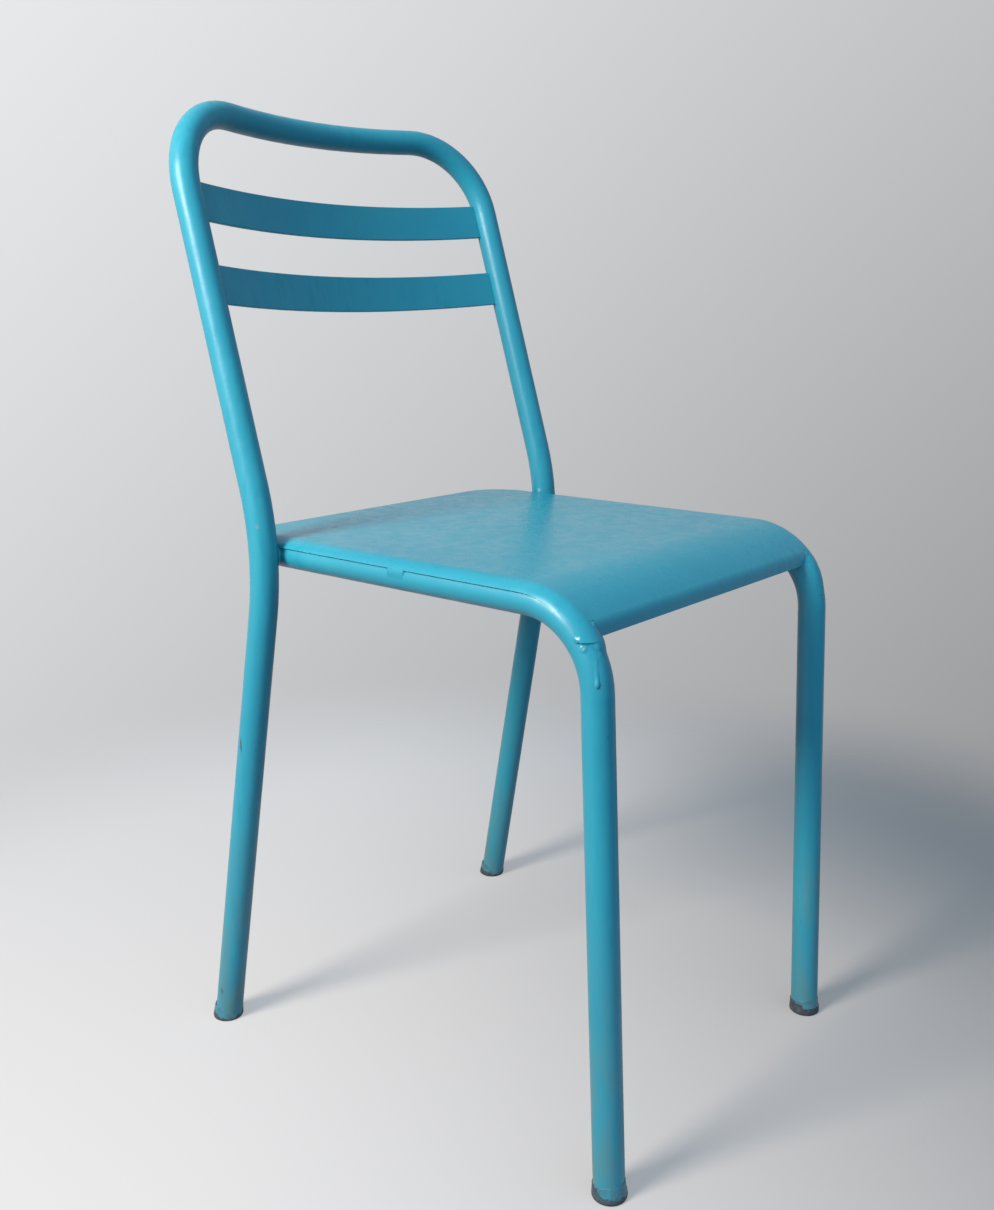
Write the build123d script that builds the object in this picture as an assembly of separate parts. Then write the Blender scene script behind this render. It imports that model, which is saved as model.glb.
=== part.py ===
from build123d import *
import os
from math import acos, asin, atan, cos, degrees, pi, radians, sin, sqrt, tan

# A welded steel garden chair: two bent tubes, a pressed seat sheet and two bowed back slats.
# Millimetres. +Z is up and the floor is Z = 0. The chair faces -Y, and left means -X.

# Tube that both bent frames are made of
tube_d = 24.0
tube_wall = 1.5

# Back hoop: rear legs, uprights and top rail in one tube
hoop_width = 380.0  # between the centre lines of the two uprights
rear_leg_rake = 10.0  # degrees from vertical, feet to the rear
upright_lean = 16.7  # degrees from vertical, head to the rear
bend_rise = 4.0  # the leg and upright lines cross this far above the side rails
hoop_bend_r = 240.0
back_length = 386.0  # from that crossing to the top rail, along the upright
top_corner_r = 77.0
back_bow = 28.8  # the middle of the back lies this far behind the uprights

# Seat frame: front legs, side rails and rear rail in one tube
seat_height = 456.0
frame_reach = 312.0  # from the hoop's bend forward to the front legs
rear_overhang = 57.0  # from the hoop's bend back to the rear rail
front_leg_rake = 2.0  # degrees from vertical, feet to the front
front_toe_in = 6.2  # a front foot stands this much nearer the middle than its side rail
front_bend_r = 61.0
rear_corner_r = 40.0
rail_gap = 0.3  # between a side rail and the rear leg that it is welded to

# Seat sheet
sheet_t = 1.5
sheet_fit = 0.5  # between the sheet and the tube under it
roll_angle = 60.0  # degrees that the edge is rolled down round the tube
nose_angle = 45.0  # degrees that the front turns down before the lip
lip_fold_r = 9.0
lip_drop = 5.0  # straight part of the lip, below the fold
lip_inset = 6.0  # from the side rails' centre lines in to the lip's ends
leg_notch_gap = 1.0  # between the sheet's edge and the rear legs

# Back slats
slat_height = 34.0
slat_t = 3.0
slat_edge = 0.6  # chamfer along a slat's edges
slat_drop = 84.5  # from the top rail to the upper slat, along the upright
slat_pitch = 72.0
slat_set = 0.8  # the slats lie this far behind the plane of the uprights
slat_gap = 0.3  # between a slat's end and the upright

# Foot ferrules
cap_height = 11.0
cap_wall = 0.7  # at the top, widening downwards
cap_flare = 0.9  # the foot is this much wider all round than the top
cap_rim = 0.4  # chamfer round the top
cap_floor = 3.0
cap_fit = 0.2

# Welds
weld_fit = 0.05
rail_weld_r = 8.0
slat_bead_r = 3.0
slat_bead_inset = 4.0  # a bead's straight part stops this far short of the slat's edges
tack_r = 2.6
tack_length = 14.0
tack_reach = 133.0  # from the hoop's bend forward to the side tacks
blob_r = 2.6
blob_step = 8.0  # between the two blobs of a corner weld, above and below the sheet's end

# Sizes that follow from the ones above
tube_r = tube_d / 2
tube_bore_r = tube_r - tube_wall
hoop_half = hoop_width / 2
rail_half = hoop_half - tube_d - rail_gap
front_foot_half = rail_half - front_toe_in
sheet_in_r = tube_r + sheet_fit
sheet_out_r = sheet_in_r + sheet_t
rail_z = seat_height - sheet_out_r
sheet_z = rail_z + sheet_in_r
bend_z = rail_z + bend_rise
leg_end_z = cap_floor + cap_fit
cap_bore_r = tube_r + cap_fit
cap_top_r = cap_bore_r + cap_wall
cap_foot_r = cap_top_r + cap_flare
rake = radians(rear_leg_rake)
lean = radians(upright_lean)
front_rake = radians(front_leg_rake)

# The origin is under the middle of the chair's depth, half way between the front feet and the back of the top rail
reach_back = back_length * sin(lean) + back_bow * cos(lean) + tube_r
reach_front = frame_reach + rail_z * tan(front_rake) + cap_foot_r / cos(front_rake)
bend_y = (reach_front - reach_back) / 2
front_y = bend_y - frame_reach
rear_y = bend_y + rear_overhang

# Corners of the two frames and the centres of the feet on the floor, on the right side
hoop_corner = Vector(hoop_half, bend_y, bend_z)
rear_foot = Vector(hoop_half, bend_y + bend_z * tan(rake), 0)
front_corner = Vector(rail_half, front_y, rail_z)
rear_corner = Vector(rail_half, rear_y, rail_z)
front_foot = Vector(front_foot_half, front_y - rail_z * tan(front_rake), 0)

# Directions of the back: along the uprights, and square to them towards the rear
up_dir = Vector(0, sin(lean), cos(lean))
back_dir = Vector(0, cos(lean), -sin(lean))
head = hoop_corner + up_dir * back_length

# The arc that the slats follow, seen along the uprights: Y is towards the rear
slat_r = (hoop_half**2 + back_bow**2) / (2 * back_bow)
slat_centre = slat_set + back_bow - slat_r
slat_turn = degrees(asin(hoop_half / slat_r))

# The front bend of the seat frame seen from the side, and the sheet that turns down over it
bend_centre_y = front_y + front_bend_r * tan((pi / 2 - front_rake) / 2)
bend_centre_z = rail_z - front_bend_r
nose_in_r = front_bend_r + sheet_in_r
lip_half = rail_half - lip_inset
lip_end = (nose_in_r - lip_fold_r) * cos(radians(nose_angle)) - lip_drop


def mirrored(point):
    """The same point on the other side of the chair."""
    return Vector(-point.X, point.Y, point.Z)


def below_floor(top, foot):
    """The point where the line from top through foot has gone one tube diameter below the floor."""
    return foot + (foot - top) * (tube_d / top.Z)


def hoop_path():
    """Centre line of the back hoop, from the right foot over the top rail to the left foot."""
    foot = below_floor(hoop_corner, rear_foot)
    tilt = 2 * atan(back_bow / (hoop_half + top_corner_r))
    inward = Vector(-cos(tilt), 0, 0) + back_dir * sin(tilt)
    start = head - up_dir * top_corner_r
    centre = start + inward * top_corner_r
    halfway = centre + (up_dir - inward) * (top_corner_r * sin(pi / 4))
    end = centre + up_dir * top_corner_r
    middle = Vector(0, head.Y, head.Z) + back_dir * back_bow
    side = FilletPolyline(foot, hoop_corner, start, radius=hoop_bend_r)
    corner = ThreePointArc(start, halfway, end)
    bow = ThreePointArc(end, middle, mirrored(end))
    far_corner = ThreePointArc(mirrored(end), mirrored(halfway), mirrored(start))
    far_side = FilletPolyline(mirrored(start), mirrored(hoop_corner), mirrored(foot), radius=hoop_bend_r)
    return Wire(side.edges() + corner.edges() + bow.edges() + far_corner.edges() + far_side.edges())


def frame_path():
    """Centre line of the seat frame, from the right front foot round the rear rail to the left front foot."""
    foot = below_floor(front_corner, front_foot)
    right = [foot, front_corner, rear_corner]
    left = [mirrored(point) for point in reversed(right)]
    return FilletPolyline(*right, *left, radius=[front_bend_r, rear_corner_r, rear_corner_r, front_bend_r])


def swept(path, section):
    """A section drawn round the path's start, swept along the path."""
    start = Plane(origin=path @ 0, z_dir=path % 0)
    return sweep(start * section, path=path)


def bent_tube(path):
    """A hollow tube along the path, cut off level inside its feet."""
    tube = swept(path, Circle(tube_r) - Circle(tube_bore_r))
    return split(tube, bisect_by=Plane.XY.offset(leg_end_z), keep=Keep.TOP)


def tube_room(path, gap):
    """The space that a tube along the path takes up, with a gap all round."""
    return swept(path, Circle(tube_r + gap))


def band(centre, inner_r, outer_r, start_angle, arc_angle):
    """A flat piece between two arcs round one centre."""
    inner = CenterArc(centre, inner_r, start_angle, arc_angle)
    outer = CenterArc(centre, outer_r, start_angle, arc_angle)
    ends = [Line(inner @ 0, outer @ 0), Line(inner @ 1, outer @ 1)]
    return make_face([inner, outer, *ends])


def roll_section(angle):
    """A rolled edge in section: the tube's centre is the origin, up is +Y and outward is +X."""
    return band((0, 0), sheet_in_r, sheet_out_r, 90, -angle)


def seat_top():
    """The flat top, with its outline on the centre line of the tube under it."""
    outline = RectangleRounded(2 * rail_half, 2 * (rear_y - bend_centre_y), rear_corner_r)
    plate = extrude(Pos(0, bend_centre_y, sheet_z) * outline, sheet_t)
    return split(plate, bisect_by=Plane.XZ.offset(-bend_centre_y), keep=Keep.BOTTOM)


def seat_roll():
    """The rolled edge along the right rail, the rear rail and the left rail."""
    front = Vector(rail_half, bend_centre_y, rail_z)
    path = FilletPolyline(front, rear_corner, mirrored(rear_corner), mirrored(front), radius=rear_corner_r)
    start = Plane(origin=front, x_dir=(1, 0, 0), z_dir=(0, -1, 0))
    return sweep(start * roll_section(roll_angle), path=path)


def seat_corner():
    """The right front corner: the sheet wrapped over the bend of the tube and cut off level with the lip."""
    strip = Pos(-lip_inset / 2, sheet_in_r + sheet_t / 2) * Rectangle(lip_inset, sheet_t)
    outer = roll_section(roll_angle)
    wrap = outer + mirror(outer, about=Plane.YZ)
    start = Plane(origin=(rail_half, bend_centre_y, rail_z), x_dir=(1, 0, 0), z_dir=(0, -1, 0))
    axis = Axis((0, bend_centre_y, bend_centre_z), (1, 0, 0))
    nose = revolve(start * (strip + outer), axis, nose_angle)
    end = revolve((start * wrap).rotate(axis, nose_angle), axis, 90 - nose_angle)
    return nose + split(end, bisect_by=Plane.XY.offset(bend_centre_z + lip_end), keep=Keep.TOP)


def seat_nose(frame):
    """The turned-down front between the corners, with its fold and its lip, fitted to the tubes at its ends."""
    curve = CenterArc((0, 0), nose_in_r, 90, nose_angle)
    fold = JernArc(curve @ 1, curve % 1, lip_fold_r, 90 - nose_angle)
    lip = Line(fold @ 1, fold @ 1 + Vector(0, -lip_drop))
    inner = Wire([curve.edge(), fold.edge(), lip.edge()])
    section = make_face(offset(inner, amount=sheet_t, side=Side.RIGHT).edges())
    across = Plane(origin=(0, bend_centre_y, bend_centre_z), x_dir=(0, 1, 0), z_dir=(1, 0, 0))
    return extrude(across * section, lip_half, both=True) - tube_room(frame, sheet_fit)


def seat_sheet(hoop, frame):
    """The seat: one sheet, flat on top, rolled over the tube, notched at the rear legs."""
    corner = seat_corner()
    sheet = seat_top() + seat_roll() + seat_nose(frame) + corner + mirror(corner, about=Plane.YZ)
    return sheet - tube_room(hoop, leg_notch_gap)


def slat_strip(drop):
    """A bowed strip at a distance below the top rail, from one upright's centre line to the other's."""
    section = band((0, slat_centre), slat_r - slat_t / 2, slat_r + slat_t / 2, 90 - slat_turn, 2 * slat_turn)
    strip = extrude(slat_plane(drop) * section, slat_height / 2, both=True)
    return chamfer(strip.edges().filter_by(GeomType.CIRCLE), slat_edge)


def slat_plane(drop):
    """The plane across the back at a distance below the top rail, with its Y towards the rear."""
    return Plane(origin=Vector(0, head.Y, head.Z) - up_dir * drop, x_dir=(1, 0, 0), z_dir=up_dir)


def slat(drop, hoop):
    """A strip cut off just short of the uprights."""
    return slat_strip(drop) - tube_room(hoop, slat_gap)


def foot_cap(top, foot):
    """A flared ferrule on the tube end that comes down from top, standing flat on the floor."""
    below = cap_foot_r
    outline = Polyline(
        (0, -below),
        (cap_foot_r, -below),
        (cap_foot_r, 0),
        (cap_top_r, cap_height - cap_rim),
        (cap_top_r - cap_rim, cap_height),
        (0, cap_height),
        close=True,
    )
    along_leg = Plane(origin=foot, z_dir=top - foot)
    body = along_leg * revolve(Plane.XZ * make_face(outline), Axis.Z)
    bore = along_leg * Cylinder(cap_bore_r, 4 * cap_height)
    bore = split(bore, bisect_by=Plane.XY.offset(cap_floor), keep=Keep.TOP)
    return split(body - bore, bisect_by=Plane.XY, keep=Keep.TOP)


def bead(start, end, radius):
    """A round-ended run of weld metal."""
    run = end - start
    bottom = (Align.CENTER, Align.CENTER, Align.MIN)
    body = Plane(origin=start, z_dir=run) * Cylinder(radius, run.length, align=bottom)
    return body + Pos(*start) * Sphere(radius) + Pos(*end) * Sphere(radius)


def hoop_y_at(z):
    """Where the hoop's centre line is at a height near the seat: on the leg, the bend or the upright."""
    turn = rake + lean
    run = hoop_bend_r * tan(turn / 2)
    if z < bend_z - run * cos(rake):
        return bend_y + (bend_z - z) * tan(rake)
    if z > bend_z + run * cos(lean):
        return bend_y + (z - bend_z) * tan(lean)
    aside = (rake - lean) / 2
    reach = hoop_bend_r / cos(turn / 2)
    centre_y = bend_y + reach * cos(aside)
    centre_z = bend_z + reach * sin(aside)
    return centre_y - sqrt(hoop_bend_r**2 - (z - centre_z) ** 2)


def rail_weld(hoop, frame, panel):
    """The weld that fills the hollow between the right rail and the rear leg, up to the sheet's edge."""
    plug = Cylinder(rail_weld_r, hoop_half - rail_half, rotation=(0, 90, 0))
    plug = Pos((hoop_half + rail_half) / 2, hoop_y_at(rail_z), rail_z) * plug
    return plug - tube_room(hoop, weld_fit) - tube_room(frame, weld_fit) - panel


def slat_weld(drop, hoop):
    """The bead behind a slat's right end, in the corner between the slat and the upright."""
    rear_r = slat_r + slat_t / 2
    apart = sqrt(hoop_half**2 + slat_centre**2)
    along = (tube_r**2 - rear_r**2 + apart**2) / (2 * apart)
    aside = sqrt(tube_r**2 - along**2)
    towards = Vector(-hoop_half, slat_centre) / apart
    corner = Vector(hoop_half, 0) + towards * along + Vector(towards.Y, -towards.X) * aside
    half = slat_height / 2 - slat_bead_inset
    local = slat_plane(drop)
    start = local.from_local_coords(Vector(corner.X, corner.Y, -half))
    end = local.from_local_coords(Vector(corner.X, corner.Y, half))
    return bead(start, end, slat_bead_r) - slat_strip(drop) - tube_room(hoop, weld_fit)


def round_rail(angle):
    """Outward and upward distance from a rail's centre line to the sheet's underside, at an angle from the top."""
    return sheet_in_r * sin(radians(angle)), sheet_in_r * cos(radians(angle))


def seat_tacks(panel, frame_seat):
    """The weld puddles across the seam of the seat, on the right rail and on the rear rail."""
    out, up = round_rail(roll_angle + degrees(tack_r / (2 * sheet_in_r)))
    half = tack_length / 2
    middle_y = bend_y - tack_reach
    side_x = rail_half + out
    rear_edge_y = rear_y + out
    z = rail_z + up
    side = bead(Vector(side_x, middle_y - half, z), Vector(side_x, middle_y + half, z), tack_r)
    rear = bead(Vector(-half, rear_edge_y, z), Vector(half, rear_edge_y, z), tack_r)
    return side - panel - frame_seat, rear - panel - frame_seat


def corner_weld(panel, frame_seat):
    """The two weld blobs above and below the sheet's end on the right front bend."""
    out, up = round_rail(roll_angle)
    radius = front_bend_r + up
    blobs = Part()
    for distance in (-blob_step / 2, blob_step / 2):
        angle = acos(lip_end / radius) + distance / radius
        y = bend_centre_y - radius * sin(angle)
        z = bend_centre_z + radius * cos(angle)
        blobs += Pos(rail_half + out, y, z) * Sphere(blob_r, rotation=(0, 90, 0))
    return blobs - panel - frame_seat


def chair_parts():
    """Every piece of the chair, by name."""
    hoop = hoop_path()
    frame = frame_path()
    panel = seat_sheet(hoop, frame)
    frame_seat = tube_room(frame, weld_fit)
    side_tack, rear_tack = seat_tacks(panel, frame_seat)
    parts = {
        "back_hoop": bent_tube(hoop),
        "seat_frame": bent_tube(frame),
        "seat_panel": panel,
        "rear_seat_tack": rear_tack,
    }
    pairs = {
        "front_{}_foot": foot_cap(front_corner, front_foot),
        "rear_{}_foot": foot_cap(hoop_corner, rear_foot),
        "{}_rail_weld": rail_weld(hoop, frame, panel),
        "{}_seat_tack": side_tack,
        "{}_corner_weld": corner_weld(panel, frame_seat),
    }
    for name, drop in (("upper", slat_drop), ("lower", slat_drop + slat_pitch)):
        parts[name + "_slat"] = slat(drop, hoop)
        pairs[name + "_{}_slat_weld"] = slat_weld(drop, hoop)
    for name, right in pairs.items():
        parts[name.format("right")] = right
        parts[name.format("left")] = mirror(right, about=Plane.YZ)
    return parts


os.makedirs("parts", exist_ok=True)
for name, shape in chair_parts().items():
    export_step(shape, f"parts/{name}.step")
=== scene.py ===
import math

import bmesh
import bpy
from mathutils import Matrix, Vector, noise


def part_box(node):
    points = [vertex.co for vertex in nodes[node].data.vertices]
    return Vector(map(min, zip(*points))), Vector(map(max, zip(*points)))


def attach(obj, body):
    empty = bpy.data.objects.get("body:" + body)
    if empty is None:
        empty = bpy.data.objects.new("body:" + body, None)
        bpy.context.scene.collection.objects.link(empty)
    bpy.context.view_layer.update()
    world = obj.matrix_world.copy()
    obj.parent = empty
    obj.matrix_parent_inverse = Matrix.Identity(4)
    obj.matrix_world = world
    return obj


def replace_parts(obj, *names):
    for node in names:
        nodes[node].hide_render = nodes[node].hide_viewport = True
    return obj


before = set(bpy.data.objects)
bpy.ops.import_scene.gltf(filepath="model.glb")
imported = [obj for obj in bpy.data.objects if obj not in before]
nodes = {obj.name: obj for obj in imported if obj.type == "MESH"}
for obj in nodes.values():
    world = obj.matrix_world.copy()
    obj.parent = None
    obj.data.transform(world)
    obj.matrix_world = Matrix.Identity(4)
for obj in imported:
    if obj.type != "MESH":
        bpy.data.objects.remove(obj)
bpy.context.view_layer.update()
mm = 0.001

# Directions of the frame: the chair looks along minus Y, and its left side lies at minus X
right = Vector((1, 0, 0))
rear = Vector((0, 1, 0))
up = Vector((0, 0, 1))
left_side = -1
right_side = 1

# Camera: the photograph's place and angle, in metres and degrees, and its lens in pixels of the image
camera_place = (-0.83418, -0.68563, 0.64555)
camera_heading = 50.231
camera_dip = 10.19
image_size = (994, 1210)
focal_px = 1231.13
centre_px = (497.0, 528.52)
sensor_mm = 36.0
# The camera's right hand and the way that it faces, on the level
right_hand = (0.640, -0.768, 0.0)
facing_way = (0.768, 0.640, 0.0)

# Floor: its tones where it is seen and for bounced light, and the radii between which it fades out
floor_size = 12.0
floor_tone = (0.320, 0.283, 0.256)
floor_bounce = (0.06, 0.09, 0.13)
floor_roughness = 0.7
floor_fade = (0.55, 1.1)
# The floor's glow falls from one level to another between two places on the way to the right
floor_glow = (0.38, 0.03)
floor_glow_across = (-0.30, 0.75)

# Key lamp: a soft disc on the left
key_place = (-1.75, 0.26, 1.55)
key_aim = (0.0, 0.0, 0.55)
key_size = 0.7
key_power = 68.0
key_tint = (1.0, 0.985, 0.96)

# Fill: blue light for the surfaces, strongest from one direction
sky_tint = (0.56, 0.86, 1.20)
sky_from = (-0.43, -0.58, 0.69)
sky_spread = (0.1, 1.0)
sky_levels = (0.07, 1.12)

# Wall that the camera and the gloss see: it darkens to the right and, for the camera, brightens upwards
wall_tint = (0.985, 1.0, 1.025)
wall_level = 0.60
wall_slope = -0.39
wall_limits = (0.40, 0.80)
wall_rise = 0.36
wall_darkest = 0.34
# For the gloss the wall is dim behind the camera, and has a soft window on the left
gloss_spread = (-0.3, 0.5)
gloss_levels = (0.22, 1.0)
window_from = (-0.89, 0.40, 0.22)
window_edge = (0.62, 0.96)
window_level = 1.2

# Tube frame, in metres and degrees
tube_r = 0.012
bend_r = 0.061
bend_start_y = -0.1577
front_rake = 2.0
front_toe = 0.8
rear_rake = 10.0
frame_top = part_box("seat_frame")[1]
rail_x = frame_top[0] - tube_r
rear_rail_y = frame_top[1] - tube_r
rail_z = frame_top[2] - tube_r

# Values named noise: cells in a metre, detail and, where there is one, the pull along X, Y and Z
# Values named steps or heights: where a soft step begins and ends and, if not 0 and 1, its two levels

# Paint: two tones that drift into each other in clouds and brush streaks, and its gloss
paint_tone = (0.022, 0.258, 0.320)
paint_deep = (0.014, 0.208, 0.280)
cloud_noise = (9, 3)
cloud_steps = (0.30, 0.75, 0.0, 0.6)
streak_noise = (160, 2, (1, 1, 9))
streak_steps = (0.40, 0.72, 0.0, 0.5)
paint_specular = 0.42
gloss_noise = (85, 3, (1, 1, 2))
gloss_steps = (0.3, 0.7)
tube_gloss = (0.33, 0.45)
sheet_gloss = (0.25, 0.35)

# Relief of the paint film: slow waves, brush lines and orange peel
wave_noise = (40, 2)
wave_height = 0.09 * mm
line_noise = (150, 1, (1, 1, 7))
line_height = 0.06 * mm
peel_noise = (120, 1)
peel_height = 0.10 * mm

# Dust on the lower legs, by height and by noise, with painted shade: the legs turn greener and darker
# towards the floor
dust_and_shade_tone = (0.088, 0.195, 0.195)
dust_and_shade_heights = (0.26, 0.0, 0.0, 0.75)
dust_noise = (95, 4, (1, 1, 5))
dust_steps = (0.28, 0.70)

# Specks: cells in a metre, radius in a cell, its full part, strength, and the share of empty cells
speck_tone = (0.010, 0.070, 0.100)
speck_cells = 70.0
speck_size = 0.075
speck_core = 0.4
speck_share = 0.45
speck_rare = 0.60

# Single marks in the paint: tones, edge and raggedness, then each one's place, half sizes and tone
mark_dark = (0.030, 0.045, 0.045)
mark_worn = (0.045, 0.120, 0.125)
mark_pale = (0.55, 0.75, 0.80)
mark_chip = (0.13, 0.42, 0.48)
mark_brown = (0.16, 0.20, 0.19)
mark_grey = (0.13, 0.24, 0.26)
mark_noise = (700, 3)
mark_ragged = 0.9
mark_steps = (1.5, 0.7)
marks = (
    ((-0.2019, 0.1672, 0.0311), (0.0030, 0.0022, 0.0042), mark_worn),
    ((-0.2020, 0.1258, 0.2765), (0.0030, 0.0014, 0.0090), mark_dark),
    ((-0.1087, 0.1029, 0.4560), (0.0050, 0.0022, 0.0030), mark_dark),
    ((-0.1995, 0.0973, 0.4691), (0.0020, 0.0018, 0.0024), mark_grey),
    ((0.1785, 0.0997, 0.4565), (0.0022, 0.0022, 0.0024), mark_chip),
    ((-0.1785, -0.2110, 0.4245), (0.0022, 0.0022, 0.0020), mark_pale),
    ((-0.1775, -0.2150, 0.4175), (0.0025, 0.0025, 0.0025), mark_brown),
)

# Bare ferrules: a dark tone with dust in it, stains that begin above the floor, roughness and dents
ferrule_tone = (0.032, 0.032, 0.036)
ferrule_dust = (0.10, 0.10, 0.10)
ferrule_dust_noise = (260, 4)
ferrule_dust_steps = (0.42, 0.80, 0.0, 0.75)
stain_heights = (1.2 * mm, 4.0 * mm)
stain_noise = (170, 4)
stain_steps = (0.30, 0.55)
dull_noise = (300, 3)
dull_steps = (0.3, 0.7, 0.5, 0.72)
dent_noise = (350, 4)
dent_depth = 0.25 * mm

# Old paint on the ferrules: a scuffed film with a ragged lower edge, which reaches lower on one side
scuff_tone = (0.045, 0.085, 0.095)
scuff_noise = (120, 5)
scuff_steps = (0.35, 0.75, 0.25, 0.80)
film_noise = (190, 4)
film_ragged = 9.0 * mm
film_sided = 6.0 * mm
film_edge = 0.5 * mm
film_thick = 0.25 * mm
film_roughness = 0.36

# Shape of a ferrule in millimetres: its profile as height and radius
ferrule_profile = (
    (0.0, 0.0), (0.0, 11.6), (0.12, 12.6), (0.6, 13.2), (1.6, 13.5), (3.2, 13.4), (5.5, 13.15),
    (8.0, 13.0), (10.0, 12.95), (10.8, 12.75), (11.1, 12.35), (11.0, 11.8), (9.0, 11.6),
)
ferrule_top = max(height for height, radius in ferrule_profile)
ferrule_steps = 96
# Unevenness of a ferrule: a rough skin and a ragged top, with cells in a metre on a cylinder
uneven_radius = 13.0
rough_cells = 260
rough_depth = 0.15
rag_cells = 420
rag_depth = 0.6
rag_power = 4

# Paint that feathers a ferrule's top into its leg, in millimetres; a factor and an offset set its side
feather_side = (1.3, 0.1)
feather_heights = (6.0, 10.0)
feather_radius = 11.9
feather_share = 0.75
feather_climb = 2.5
feather_climb_heights = (8.0, 11.0)

# Each foot: rake, toe-in, height above which paint is left, side that kept most, and share of stains
feet = {
    "front_left_foot": (front_rake, -front_toe, 10.2 * mm, (-0.30, -0.95, 0.0), 0.85),
    "front_right_foot": (front_rake, front_toe, 12.4 * mm, (-0.43, -0.90, 0.0), 0.15),
    "rear_left_foot": (-rear_rake, 0.0, 8.0 * mm, (-0.62, -0.78, 0.0), 0.95),
    "rear_right_foot": (-rear_rake, 0.0, 9.5 * mm, (-0.62, -0.78, 0.0), 0.35),
}

# The sheet over the tube: its outer radius, the height where it ends on the front bends, and its roll
sheet_r = tube_r + 2.0 * mm
sheet_end_z = 0.4216
roll_angle = 60.0

# How far inside the tube's skin the hidden faces of paint fills and tacks lie
hidden_depth = 0.6 * mm

# Paint at the front corners: its reach down, and the angle across from which the sheet's end shows
corner_reach = {"left": 11.0 * mm, "right": 26.0 * mm}
corner_bare = {"left": 9.0, "right": 90.0}
# Section of that paint
fill_grid = (18, 60)
fill_above = 1.5 * mm
fill_spread = 74.0
fill_short = 4.0 * mm
fill_step = 0.7 * mm
fill_change = 30.0
fill_edge = 2.4
fill_sunk = 0.1 * mm
fill_wave = 0.2 * mm
fill_wander = 0.6 * mm
# How fast its unevenness changes across the tube, from side to side, and downwards in a metre
fill_cells = (6, 5, 400)

# Paint run on the left front leg: angles round the bend and across the tube, and its section
drip_route = ((57.0, 26.0), (62.0, 31.0), (71.0, 44.0), (82.0, 54.0))
drip_grid = (60, 15)
drip_half = 1.7 * mm
drip_rise = 0.45 * mm
drip_thinning = 1.4
drip_bead_at = 0.90
drip_bead_long = 0.07
drip_bead_more = 0.5 * mm
drip_bead_rise = 0.75 * mm
drip_sunk = 0.05 * mm
drip_root = 0.5 * mm

# Weld blobs on the front bends: angles round the bend and across the tube, half size, base radius and rise
corner_blobs = (
    (50.5, 60.0, 3.4 * mm, 13.1 * mm, 1.0 * mm),
    (57.3, 60.0, 3.6 * mm, 11.9 * mm, 0.6 * mm),
    (47.2, -20.0, 4.3 * mm, 13.5 * mm, 1.25 * mm),
)
blob_steps = 21
blob_root = 1.2 * mm
blob_uneven = 0.3
blob_cells = 2

# Tacks over the seam of the seat's edge: their span across the tube in degrees, depth and rise
tack_span = (48.0, 104.0)
tack_grid = (40, 24)
tack_sunk = 0.15 * mm
tack_low = 0.1 * mm
tack_rise = 0.3 * mm
tack_wave = 0.2 * mm
# How steeply tacks fall to the tube and set in at their edges, and their unevenness
tack_fall = 1.1
tack_start = 4
tack_ends = 4
tack_ragged = 0.5
tack_cells = 2
tack_seeds = {"left": -4, "right": 4, "rear": 8}

# Weld beads: the solid's voxels, how its edges flow out, and how its skin swells and bumps
weld_voxel = 0.45 * mm
weld_flow = 8
weld_flow_factor = 0.5
weld_swell = 0.35 * mm
weld_bumps = 0.25 * mm
weld_bump_cells = 330


def new_material(name):
    """An empty node material with its tree and its Principled shader."""
    made = bpy.data.materials.new(name)
    made.use_nodes = True
    return made, made.node_tree, made.node_tree.nodes["Principled BSDF"]


def add(tree, kind, sockets=None, output=0, **settings):
    """Adds a node and gives one of its outputs; sockets hold values or other nodes' outputs."""
    made = tree.nodes.new("ShaderNode" + kind)
    for key, value in settings.items():
        setattr(made, key, value)
    for key, value in (sockets or {}).items():
        if isinstance(value, bpy.types.NodeSocket):
            tree.links.new(value, made.inputs[key])
        else:
            made.inputs[key].default_value = value
    return made.outputs[output]


def calc(tree, operation, a, b=0.0, c=0.0):
    """A number from up to three numbers."""
    return add(tree, "Math", {0: a, 1: b, 2: c}, operation=operation)


def vector(tree, operation, a, b):
    """A vector from two vectors."""
    return add(tree, "VectorMath", {0: a, 1: b}, operation=operation)


def along(tree, a, way):
    """How far a vector reaches along a direction."""
    return add(tree, "VectorMath", {0: a, 1: way}, "Value", operation="DOT_PRODUCT")


def length(tree, a):
    """How long a vector is."""
    return add(tree, "VectorMath", {0: a}, "Value", operation="LENGTH")


def opaque(tone):
    """A tone with full alpha; a node's output stays as it is."""
    if isinstance(tone, bpy.types.NodeSocket):
        return tone
    return (*tone, 1)


def blend(tree, share, a, b):
    """Mixes two colours by a share from 0 to 1."""
    first_colour, second_colour, mixed_colour = 6, 7, 2
    sockets = {0: share, first_colour: opaque(a), second_colour: opaque(b)}
    return add(tree, "Mix", sockets, mixed_colour, data_type="RGBA")


def ramp(tree, value, low, high, start=0.0, end=1.0):
    """A soft step from start to end while the value goes from low to high."""
    sockets = {"Value": value, "From Min": low, "From Max": high, "To Min": start, "To Max": end}
    return add(tree, "MapRange", sockets, interpolation_type="SMOOTHSTEP")


def grain(tree, place, cells, detail, pull=(1, 1, 1)):
    """Noise from 0 to 1, with its cells in a metre, its detail, and its pull along X, Y and Z."""
    squeezed = vector(tree, "DIVIDE", place, pull)
    return add(tree, "TexNoise", {"Vector": squeezed, "Scale": cells, "Detail": detail})


def coordinates(tree):
    """A point's place in its own object, which for every piece is the shared frame."""
    return add(tree, "TexCoord", output="Object")


def height_of(tree, place):
    """A place's height over the floor."""
    return add(tree, "SeparateXYZ", {0: place}, "Z")


def relief(tree, height):
    """A normal from a height in metres."""
    return add(tree, "Bump", {"Strength": 1.0, "Distance": 1.0, "Height": height})


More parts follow.
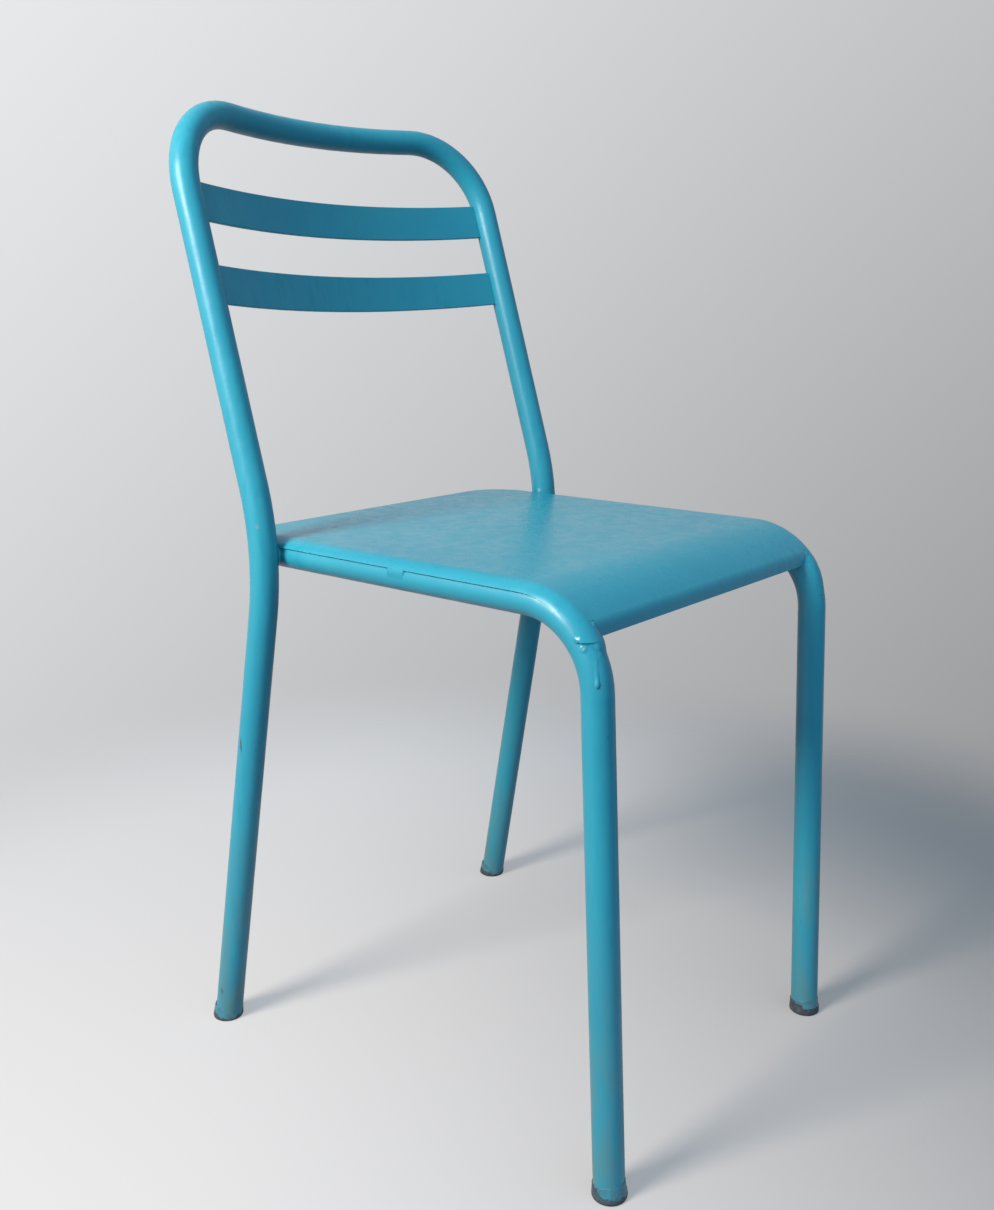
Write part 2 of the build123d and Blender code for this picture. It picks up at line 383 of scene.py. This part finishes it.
def specks(tree, place):
    """Single dark specks, one in some of the cells of a loose grid."""
    cells = tree.nodes.new("ShaderNodeTexVoronoi")
    cells.inputs["Scale"].default_value = speck_cells
    tree.links.new(place, cells.inputs["Vector"])
    near = ramp(tree, cells.outputs["Distance"], speck_size, speck_core * speck_size, 0.0, speck_share)
    chosen = calc(tree, "GREATER_THAN", cells.outputs["Color"], speck_rare)
    return calc(tree, "MULTIPLY", near, chosen)


def paint_colour(tree, place):
    """Brushed turquoise: clouds and streaks of a deeper tone, specks, leg dust with painted shade low
    down, and single marks.
    """
    clouds = ramp(tree, grain(tree, place, *cloud_noise), *cloud_steps)
    streaks = ramp(tree, grain(tree, place, *streak_noise), *streak_steps)
    colour = blend(tree, calc(tree, "MAXIMUM", clouds, streaks), paint_tone, paint_deep)
    colour = blend(tree, specks(tree, place), colour, speck_tone)
    # Dust and painted shade: the legs turn greener and darker towards the floor
    low_dust_and_shade = ramp(tree, height_of(tree, place), *dust_and_shade_heights)
    uneven = ramp(tree, grain(tree, place, *dust_noise), *dust_steps)
    colour = blend(tree, calc(tree, "MULTIPLY", low_dust_and_shade, uneven), colour, dust_and_shade_tone)
    ragged = calc(tree, "MULTIPLY", grain(tree, place, *mark_noise), mark_ragged)
    for centre, size, tone in marks:
        apart = vector(tree, "DIVIDE", vector(tree, "SUBTRACT", place, centre), size)
        reach = calc(tree, "ADD", length(tree, apart), ragged)
        colour = blend(tree, ramp(tree, reach, *mark_steps), colour, tone)
    return colour


def paint_relief(tree, place):
    """The paint film's normal, from slow waves, brush lines and orange peel."""
    waves = calc(tree, "MULTIPLY", grain(tree, place, *wave_noise), wave_height)
    lines = calc(tree, "MULTIPLY", grain(tree, place, *line_noise), line_height)
    peel = calc(tree, "MULTIPLY", grain(tree, place, *peel_noise), peel_height)
    return relief(tree, calc(tree, "ADD", calc(tree, "ADD", waves, lines), peel))


def paint(name, roughness):
    """Glossy brush paint, its roughness between two values."""
    made, tree, shader = new_material(name)
    place = coordinates(tree)
    tree.links.new(paint_colour(tree, place), shader.inputs["Base Color"])
    gloss = ramp(tree, grain(tree, place, *gloss_noise), *gloss_steps, *roughness)
    tree.links.new(gloss, shader.inputs["Roughness"])
    shader.inputs["Specular IOR Level"].default_value = paint_specular
    tree.links.new(paint_relief(tree, place), shader.inputs["Normal"])
    return made


def bare_colour(tree, place, stained):
    """A ferrule without paint: dark, dusty, and stained above the floor."""
    dust = ramp(tree, grain(tree, place, *ferrule_dust_noise), *ferrule_dust_steps)
    bare = blend(tree, dust, ferrule_tone, ferrule_dust)
    stain = ramp(tree, height_of(tree, place), *stain_heights, 0.0, stained)
    patches = ramp(tree, grain(tree, place, *stain_noise), *stain_steps)
    return blend(tree, calc(tree, "MULTIPLY", stain, patches), bare, scuff_tone)


def film_share(tree, place, paint_level, side):
    """1 where old paint still covers a ferrule, and 0 where it is bare."""
    ragged = calc(tree, "MULTIPLY_ADD", grain(tree, place, *film_noise), film_ragged, -film_ragged / 2)
    normal = add(tree, "NewGeometry", output="Normal")
    lower = calc(tree, "MULTIPLY", along(tree, normal, side), film_sided)
    covered = calc(tree, "ADD", height_of(tree, place), ragged)
    covered = calc(tree, "ADD", covered, lower)
    return ramp(tree, covered, paint_level - film_edge, paint_level + film_edge)


def ferrule(name, paint_level, side, stained):
    """A worn ferrule; above paint_level, and lower down on one side, old paint still covers it."""
    made, tree, shader = new_material(name)
    place = coordinates(tree)
    share = film_share(tree, place, paint_level, side)
    scuffed = ramp(tree, grain(tree, place, *scuff_noise), *scuff_steps)
    film_tone = blend(tree, scuffed, paint_colour(tree, place), scuff_tone)
    colour = blend(tree, share, bare_colour(tree, place, stained), film_tone)
    tree.links.new(colour, shader.inputs["Base Color"])
    dull = ramp(tree, grain(tree, place, *dull_noise), *dull_steps)
    tree.links.new(ramp(tree, share, 0.0, 1.0, dull, film_roughness), shader.inputs["Roughness"])
    dents = calc(tree, "MULTIPLY", grain(tree, place, *dent_noise), dent_depth)
    height = calc(tree, "MULTIPLY_ADD", share, film_thick, dents)
    tree.links.new(relief(tree, height), shader.inputs["Normal"])
    return made


def dress(piece, material):
    """Gives a piece one material and no other."""
    piece.data.materials.clear()
    piece.data.materials.append(material)


def show(name, data):
    """A new object in the scene."""
    made = bpy.data.objects.new(name, data)
    bpy.context.scene.collection.objects.link(made)
    return made


def new_piece(name, points, faces, material):
    """A smooth mesh piece that rides with the chair."""
    mesh = bpy.data.meshes.new(name)
    mesh.from_pydata(points, [], faces)
    mesh.shade_smooth()
    piece = show(name, mesh)
    tidy = bmesh.new()
    tidy.from_mesh(mesh)
    bmesh.ops.recalc_face_normals(tidy, faces=tidy.faces)
    tidy.to_mesh(mesh)
    tidy.free()
    dress(piece, material)
    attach(piece, "root")
    return piece


def smooth(value):
    """A soft step from 0 to 1."""
    value = min(1.0, max(0.0, value))
    return value * value * (3 - 2 * value)


def smooth_between(value, low, high):
    """A soft step from 0 at low to 1 at high."""
    return smooth((value - low) / (high - low))


def lump(rows, columns, pair):
    """Points and faces of a thin closed lump on a grid.

    pair gives the lump's outer and inner point at two shares from 0 to 1, by row and by column.
    """
    pairs = []
    for row in range(rows):
        for column in range(columns):
            pairs.append(pair(row / (rows - 1), column / (columns - 1)))
    points = [outer for outer, inner in pairs] + [inner for outer, inner in pairs]
    under = len(pairs)
    faces = []
    for row in range(rows - 1):
        for column in range(columns - 1):
            a = row * columns + column
            b = a + columns
            faces.append((a, a + 1, b + 1, b))
            faces.append((under + a, under + b, under + b + 1, under + a + 1))
    rim = list(range(columns))
    rim += [row * columns + columns - 1 for row in range(1, rows)]
    rim += [(rows - 1) * columns + column for column in reversed(range(columns - 1))]
    rim += [row * columns for row in reversed(range(1, rows - 1))]
    for here, there in zip(rim, rim[1:] + rim[:1]):
        faces.append((here, there, under + there, under + here))
    return points, faces


def joined(lumps):
    """One list of points and faces from several."""
    points, faces = [], []
    for more, rings in lumps:
        faces += [tuple(index + len(points) for index in ring) for ring in rings]
        points += more
    return points, faces


def bend_point(side, around, across, radius):
    """A point at a radius from the centre line of a front bend.

    around is the angle from the bend's top, and across the angle from the tube's crest to the outside.
    """
    toe = math.radians(front_toe)
    leg_up = Vector((side * math.sin(toe), 0, math.cos(toe)))
    out = Vector((side * leg_up.z, 0, -side * leg_up.x))
    start = Vector((side * rail_x, bend_start_y, rail_z))
    line = start - bend_r * math.sin(around) * rear - bend_r * (1 - math.cos(around)) * leg_up
    crest = math.cos(around) * leg_up - math.sin(around) * rear
    return line + radius * (math.cos(across) * crest + math.sin(across) * out)


def ferrule_point(base, axis, way, side, height, radius):
    """A point of a ferrule's skin: its way out from the axis, and its height and radius in the profile."""
    share = height / ferrule_top
    factor, offset = feather_side
    filled = smooth(way.dot(side) * factor + offset) * smooth_between(height, *feather_heights)
    closed = radius - (radius - feather_radius) * feather_share * filled
    climb = feather_climb * filled * smooth_between(height, *feather_climb_heights)
    skin = base + way * uneven_radius * mm
    rough = noise.noise((skin + axis * height * mm) * rough_cells) * rough_depth * min(1.0, height)
    rag = noise.noise(skin * rag_cells) * rag_depth * share ** rag_power
    spot = base + way * (closed + rough) * mm + axis * (height + rag + climb) * mm
    # The lower a point lies, the more it is levelled with the floor
    spot -= axis * (((spot - base).dot(up) - height * mm) / axis.z) * (1 - share)
    return Vector((spot.x, spot.y, max(spot.z, 0.0)))


def foot(name, rake, toe, side, material):
    """A worn ferrule about its leg, set flat on the floor; paint feathers its top on one side."""
    low, high = (Vector(corner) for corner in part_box(name))
    lean, turn = math.radians(rake), math.radians(toe)
    axis = Vector((math.sin(turn), math.sin(lean), math.cos(lean))).normalized()
    middle = (low + high) / 2
    base = middle - axis * (middle.z / axis.z)
    across = axis.cross(rear).normalized()
    backwards = across.cross(axis)
    points = [base]
    for height, radius in ferrule_profile[1:]:
        for step in range(ferrule_steps):
            angle = math.tau * step / ferrule_steps
            way = math.cos(angle) * across + math.sin(angle) * backwards
            points.append(ferrule_point(base, axis, way, Vector(side), height, radius))
    faces = [(0, 1 + step, 1 + (step + 1) % ferrule_steps) for step in range(ferrule_steps)]
    rings = len(ferrule_profile) - 1
    for ring in range(rings - 1):
        for step in range(ferrule_steps):
            a = 1 + ring * ferrule_steps + step
            b = 1 + ring * ferrule_steps + (step + 1) % ferrule_steps
            faces.append((a, b, b + ferrule_steps, a + ferrule_steps))
    last = 1 + (rings - 1) * ferrule_steps
    faces.append(tuple(last + step for step in range(ferrule_steps)))
    piece = new_piece(name + "_ferrule", points, faces, material)
    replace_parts(piece, name)


def add_feet():
    """The four ferrules, each with its own wear."""
    for name, (rake, toe, level, side, stained) in feet.items():
        foot(name, rake, toe, side, ferrule(name + "_worn", level, side, stained))


def corner_fill(side, hand, skin):
    """The paint that ramps from the sheet's end down to the leg; past an angle across, the end shows."""
    reach = corner_reach[hand]

    def pair(down, over):
        out = 2 * over - 1
        across = math.radians(fill_spread) * out
        edge = smooth((1 - abs(out)) * fill_edge)
        shows = smooth((math.degrees(across) - corner_bare[hand]) / fill_change)
        run = reach + (fill_short - reach) * shows
        drop = -fill_above + (run + fill_above) * down
        thick = (sheet_r - tube_r - fill_step * shows) * (1 - smooth(drop / run))
        wave = noise.noise(Vector((across, side, drop)) * Vector(fill_cells))
        radius = tube_r - fill_sunk + (thick + wave * fill_wave) * edge
        level = sheet_end_z - drop - wave * fill_wander - (rail_z - bend_r)
        spots = []
        for far in (radius, tube_r - hidden_depth):
            around = math.acos(level / (bend_r + far * math.cos(across)))
            spots.append(bend_point(side, around, across, far))
        return spots

    points, faces = lump(*fill_grid, pair)
    new_piece(hand + "_corner_fill", points, faces, skin)


def blob(side, around, across, half, base, rise):
    """A flat drop of weld on a front bend: its angles in degrees, half size, base radius and rise."""

    def pair(down, over):
        u, v = 2 * down - 1, 2 * over - 1
        u, v = u * math.sqrt(1 - v * v / 2), v * math.sqrt(1 - u * u / 2)
        turn = math.radians(around) + u * half / (bend_r + base)
        angle = math.radians(across) + v * half / base
        dome = max(0.0, 1 - u * u - v * v)
        uneven = 1 + blob_uneven * noise.noise(Vector((u, v, around)) * blob_cells)
        outer = bend_point(side, turn, angle, base + rise * uneven * dome)
        return outer, bend_point(side, turn, angle, base - blob_root)

    return lump(blob_steps, blob_steps, pair)


def add_corners(skin):
    """The paint and the weld blobs where the sheet ends on the front bends."""
    for side, hand in ((left_side, "left"), (right_side, "right")):
        corner_fill(side, hand, skin)
        points, faces = joined([blob(side, *place) for place in corner_blobs])
        bead = new_piece(hand + "_corner_bead", points, faces, skin)
        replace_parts(bead, hand + "_corner_weld")


def tack(hand, rail, way, out, skin):
    """The flat weld that bridges the seam of the seat's edge.

    rail is a point on the rail's centre line, way the rail's direction, and out points away from the seat.
    """
    name = hand + "_seat_tack"
    low, high = (Vector(corner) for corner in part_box(name))
    half = (high - low).dot(way) / 2
    middle = rail + way * ((low + high) / 2 - rail).dot(way)
    first, last = tack_span

    def pair(down, over):
        along_it = 2 * down - 1
        across = math.radians(first + (last - first) * over)
        wave = noise.noise(Vector((along_it * tack_cells, over * tack_cells, tack_seeds[hand])))
        under = (sheet_r if math.degrees(across) < roll_angle else tube_r) - tack_sunk
        fall = 1 - smooth(tack_fall * over)
        bridge = tube_r - tack_low + (sheet_r - tube_r + tack_rise + tack_wave * wave) * fall
        ends = smooth((1 - abs(along_it)) * tack_ends + wave * tack_ragged)
        full = ends * smooth(tack_start * over)
        here = middle + way * half * along_it
        from_rail = math.sin(across) * out + math.cos(across) * up
        outer = here + (under + (bridge - under) * full) * from_rail
        return outer, here + (tube_r - hidden_depth) * from_rail

    points, faces = lump(*tack_grid, pair)
    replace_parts(new_piece(hand + "_seat_bead", points, faces, skin), name)


def add_tacks(skin):
    """The seat's welds on its side rails and its rear rail."""
    tack("left", Vector((-rail_x, 0, rail_z)), rear, -right, skin)
    tack("right", Vector((rail_x, 0, rail_z)), rear, right, skin)
    tack("rear", Vector((0, rear_rail_y, rail_z)), right, rear, skin)


def along_route(route, share):
    """Where a share from 0 to 1 of a route of few points lies, on a smooth curve through them."""
    spot = share * (len(route) - 1)
    index = min(int(spot), len(route) - 2)
    part = spot - index
    before, after = max(index - 1, 0), min(index + 2, len(route) - 1)
    values = []
    for a, b, c, d in zip(route[before], route[index], route[index + 1], route[after]):
        bow = (2 * a - 5 * b + 4 * c - d) * part ** 2 + (3 * b - a - 3 * c + d) * part ** 3
        values.append(b + ((c - a) * part + bow) / 2)
    return values


def add_drip(skin):
    """A run of paint that set on the left front leg, with a bead at its lower end."""

    def pair(down, over):
        around, across = (math.radians(angle) for angle in along_route(drip_route, down))
        bead = math.exp(-((down - drip_bead_at) / drip_bead_long) ** 2)
        past_bead = max(0.0, (down - drip_bead_at) / (1 - drip_bead_at))
        tip = math.sqrt(max(0.0, 1 - past_bead ** 2))
        half = (drip_half + bead * drip_bead_more) * tip
        rise = (drip_rise * smooth(1 - drip_thinning * (1 - down)) + bead * drip_bead_rise) * tip
        out = 2 * over - 1
        angle = across + out * half / tube_r
        dome = rise * (1 - out * out)
        outer = bend_point(left_side, around, angle, tube_r - drip_sunk + dome)
        return outer, bend_point(left_side, around, angle, tube_r - drip_root)

    points, faces = lump(*drip_grid, pair)
    new_piece("leg_paint_run", points, faces, skin)


def weld_bead(name, skin):
    """A weld's solid as it sets under paint: its edges flow out, and its skin is uneven."""
    solid = nodes[name].copy()
    solid.data = nodes[name].data.copy()
    bpy.context.scene.collection.objects.link(solid)
    voxels = solid.modifiers.new("voxels", "REMESH")
    voxels.mode = "VOXEL"
    voxels.voxel_size = weld_voxel
    flow = solid.modifiers.new("flow", "SMOOTH")
    flow.factor = weld_flow_factor
    flow.iterations = weld_flow
    bpy.context.view_layer.update()
    mesh = bpy.data.meshes.new_from_object(solid.evaluated_get(bpy.context.evaluated_depsgraph_get()))
    bpy.data.objects.remove(solid)
    points = []
    for vertex in mesh.vertices:
        bumpy = noise.noise(vertex.co * weld_bump_cells) * weld_bumps
        points.append(vertex.co + vertex.normal * (weld_swell + bumpy))
    faces = [tuple(face.vertices) for face in mesh.polygons]
    piece = new_piece(name + "_bead", points, faces, skin)
    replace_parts(piece, name)


def add_welds(skin):
    """The beads that hold the side rails and the slats to the hoop."""
    for name in nodes:
        if name.endswith(("rail_weld", "slat_weld")):
            weld_bead(name, skin)


def seen_directly(tree):
    """1 for what the camera sees, straight or by gloss and glass, and 0 for light that bounces on."""
    path = tree.nodes.new("ShaderNodeLightPath")
    seen = calc(tree, "MAXIMUM", path.outputs["Is Camera Ray"], path.outputs["Is Glossy Ray"])
    return calc(tree, "MAXIMUM", seen, path.outputs["Is Transmission Ray"])


def floor_paint():
    """A pale matt floor that glows a little where it is seen, and fades out into the wall."""
    made, tree, shader = new_material("pale_floor")
    seen = seen_directly(tree)
    place = coordinates(tree)
    tree.links.new(blend(tree, seen, floor_bounce, floor_tone), shader.inputs["Base Color"])
    glow = ramp(tree, along(tree, place, right_hand), *floor_glow_across, *floor_glow)
    tree.links.new(calc(tree, "MULTIPLY", glow, seen), shader.inputs["Emission Strength"])
    shader.inputs["Emission Color"].default_value = opaque(wall_tint)
    shader.inputs["Roughness"].default_value = floor_roughness
    shader.inputs["Specular IOR Level"].default_value = 0.0
    gone = ramp(tree, length(tree, place), *floor_fade)
    clear = add(tree, "BsdfTransparent")
    mixed = add(tree, "MixShader", {0: gone, 1: shader.outputs[0], 2: clear})
    tree.links.new(mixed, tree.nodes["Material Output"].inputs["Surface"])
    return made


def add_floor():
    """A square floor at height 0."""
    half = floor_size / 2
    mesh = bpy.data.meshes.new("floor")
    corners = [(-half, -half, 0), (half, -half, 0), (half, half, 0), (-half, half, 0)]
    mesh.from_pydata(corners, [], [(0, 1, 2, 3)])
    floor = show("floor", mesh)
    mesh.materials.append(floor_paint())


def add_key():
    """The soft lamp on the left."""
    lamp = bpy.data.lights.new("key", "AREA")
    lamp.shape = "DISK"
    lamp.size = key_size
    lamp.energy = key_power
    lamp.color = key_tint
    key = show("key", lamp)
    key.location = key_place
    aim = Vector(key_aim) - Vector(key_place)
    key.rotation_euler = aim.to_track_quat("-Z", "Y").to_euler()


def wall_strength(tree, way):
    """How bright the wall is along a direction, for the camera and for the gloss."""
    path = tree.nodes.new("ShaderNodeLightPath")
    glossy = path.outputs["Is Glossy Ray"]
    wall = calc(tree, "MULTIPLY_ADD", along(tree, way, right_hand), wall_slope, wall_level)
    wall = calc(tree, "MINIMUM", calc(tree, "MAXIMUM", wall, wall_limits[0]), wall_limits[1])
    rise = calc(tree, "MULTIPLY", along(tree, way, up), wall_rise)
    wall = calc(tree, "MULTIPLY_ADD", rise, path.outputs["Is Camera Ray"], wall)
    wall = calc(tree, "MAXIMUM", wall, wall_darkest)
    in_gloss = ramp(tree, along(tree, way, facing_way), *gloss_spread, *gloss_levels)
    wall = calc(tree, "MULTIPLY", wall, ramp(tree, glossy, 0.0, 1.0, 1.0, in_gloss))
    window = ramp(tree, along(tree, way, window_from), *window_edge, 0.0, window_level)
    return calc(tree, "MULTIPLY_ADD", window, glossy, wall)


def add_sky():
    """Soft blue fill for the surfaces, and a pale wall for the camera and the gloss."""
    world = bpy.data.worlds.new("studio")
    bpy.context.scene.world = world
    world.use_nodes = True
    tree = world.node_tree
    way = add(tree, "TexCoord", output="Generated")
    fill = tree.nodes["Background"]
    fill.inputs["Color"].default_value = opaque(sky_tint)
    level = ramp(tree, along(tree, way, sky_from), *sky_spread, *sky_levels)
    tree.links.new(level, fill.inputs["Strength"])
    shown = add(tree, "Background", {"Color": opaque(wall_tint), "Strength": wall_strength(tree, way)})
    mixed = add(tree, "MixShader", {0: seen_directly(tree), 1: fill.outputs[0], 2: shown})
    tree.links.new(mixed, tree.nodes["World Output"].inputs["Surface"])


def add_camera():
    """The photograph's camera."""
    lens = bpy.data.cameras.new("camera")
    lens.sensor_width = sensor_mm
    lens.lens = focal_px * sensor_mm / image_size[1]
    lens.shift_x = (image_size[0] / 2 - centre_px[0]) / image_size[1]
    lens.shift_y = (centre_px[1] - image_size[1] / 2) / image_size[1]
    camera = show("camera", lens)
    camera.location = camera_place
    camera.rotation_euler = (math.radians(90 - camera_dip), 0, math.radians(-camera_heading))
    bpy.context.scene.camera = camera


turquoise = paint("turquoise_paint", tube_gloss)
for node in nodes.values():
    dress(node, turquoise)
dress(nodes["seat_panel"], paint("seat_paint", sheet_gloss))

add_feet()
add_corners(turquoise)
add_tacks(turquoise)
add_drip(turquoise)
add_welds(turquoise)
add_floor()
add_key()
add_sky()
add_camera()
bpy.context.scene.view_settings.view_transform = "Standard"
